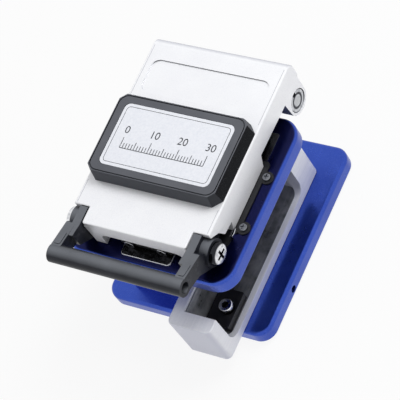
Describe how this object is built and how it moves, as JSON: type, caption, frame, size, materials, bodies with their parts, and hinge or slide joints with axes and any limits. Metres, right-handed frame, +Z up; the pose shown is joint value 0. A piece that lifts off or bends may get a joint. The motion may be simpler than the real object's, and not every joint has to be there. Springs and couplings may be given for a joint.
{
  "type": "fibre cleaver",
  "caption": "Tabletop optical fibre cleaver: flat base, blade slider on a rail, work platform with clamps, and a hinged lid with thumb pad and front bail.",
  "frame": {"origin": "centre of the underside of the rubber mat under the base", "axes": "+Z up, -Y towards the front where the bail and the slider stand out, X along the fibre and along the lid's hinge pin, with the blade slider on the +X side"},
  "size_m": [0.06, 0.0809, 0.0564],
  "materials": {
    "blue_paint": "glossy royal blue enamel",
    "silver_paint": "satin fine-grained silver",
    "silver_slider": "satin",
    "black_anodised": "satin black anodised",
    "charcoal_plastic": "satin moulded",
    "label_white": "satin",
    "rubber_black": "matte",
    "clamp_rubber": "smooth",
    "polished_steel": "polished",
    "chrome_screw": "bright",
    "black_screw": "black oxide",
    "blade_carbide": "ground"
  },
  "bodies": {
    "root": {"rubber_mat": "rubber_black", "base_plate": "blue_paint", "base_screws": "black_screw", "stop_pin": "polished_steel", "body_column": "blue_paint", "guide_rail": "polished_steel", "rail_screws": "black_screw", "platform": "blue_paint", "platform_screws": "black_screw", "magnets": "chrome_screw", "keeper_plate": "polished_steel", "rest_plate": "polished_steel", "lower_clamp_right": "black_anodised", "lower_clamp_left": "black_anodised", "carrier_screws": "chrome_screw", "lower_pads": "clamp_rubber", "fibre_guide": "polished_steel", "hinge_bracket": "blue_paint", "bracket_screws": "black_screw", "hinge_pin": "polished_steel", "pin_caps": "chrome_screw"},
    "slider": {"slider_carriage": "silver_slider", "pocket_liner": "polished_steel", "blade_arm": "black_anodised", "arm_screw": "chrome_screw", "blade_axle": "polished_steel", "blade_washer": "polished_steel"},
    "blade": {"cutting_blade": "blade_carbide"},
    "lid": {"lid": "silver_paint", "thumb_pad": "charcoal_plastic", "label_plate": "label_white", "anvil_holder": "polished_steel", "anvil_pad": "clamp_rubber", "clamp_springs": "polished_steel", "bail_springs": "polished_steel", "bail_screws": "chrome_screw"},
    "clamp": {"clamp_arm": "black_anodised", "front_screws": "chrome_screw", "upper_clamps": "black_anodised", "upper_pads": "clamp_rubber"},
    "bail": {"bail_handle": "charcoal_plastic"}
  },
  "joints": [
    {"name": "slider_travel", "type": "slide", "parent": "root", "child": "slider", "axis": [0, 1, 0], "range_m": [0, 0.02]},
    {"name": "blade_index", "type": "hinge", "parent": "slider", "child": "blade", "pos_m": [0.015, -0.017, 0.0316], "axis": [1, 0, 0], "continuous": true},
    {"name": "lid_hinge", "type": "hinge", "parent": "root", "child": "lid", "pos_m": [0, 0.0313, 0.0383], "axis": [-1, 0, 0], "range_deg": [0, 80]},
    {"name": "clamp_float", "type": "hinge", "parent": "lid", "child": "clamp", "pos_m": [0, 0.0313, 0.0383], "axis": [-1, 0, 0], "range_deg": [0, 1], "stiffness_Nm_per_rad": 0.4, "springref_deg": -8.59},
    {"name": "bail_pivot", "type": "hinge", "parent": "lid", "child": "bail", "pos_m": [0, -0.0261, 0.0453], "axis": [1, 0, 0], "range_deg": [0, 20], "stiffness_Nm_per_rad": 0.02, "springref_deg": -20.05}
  ]
}
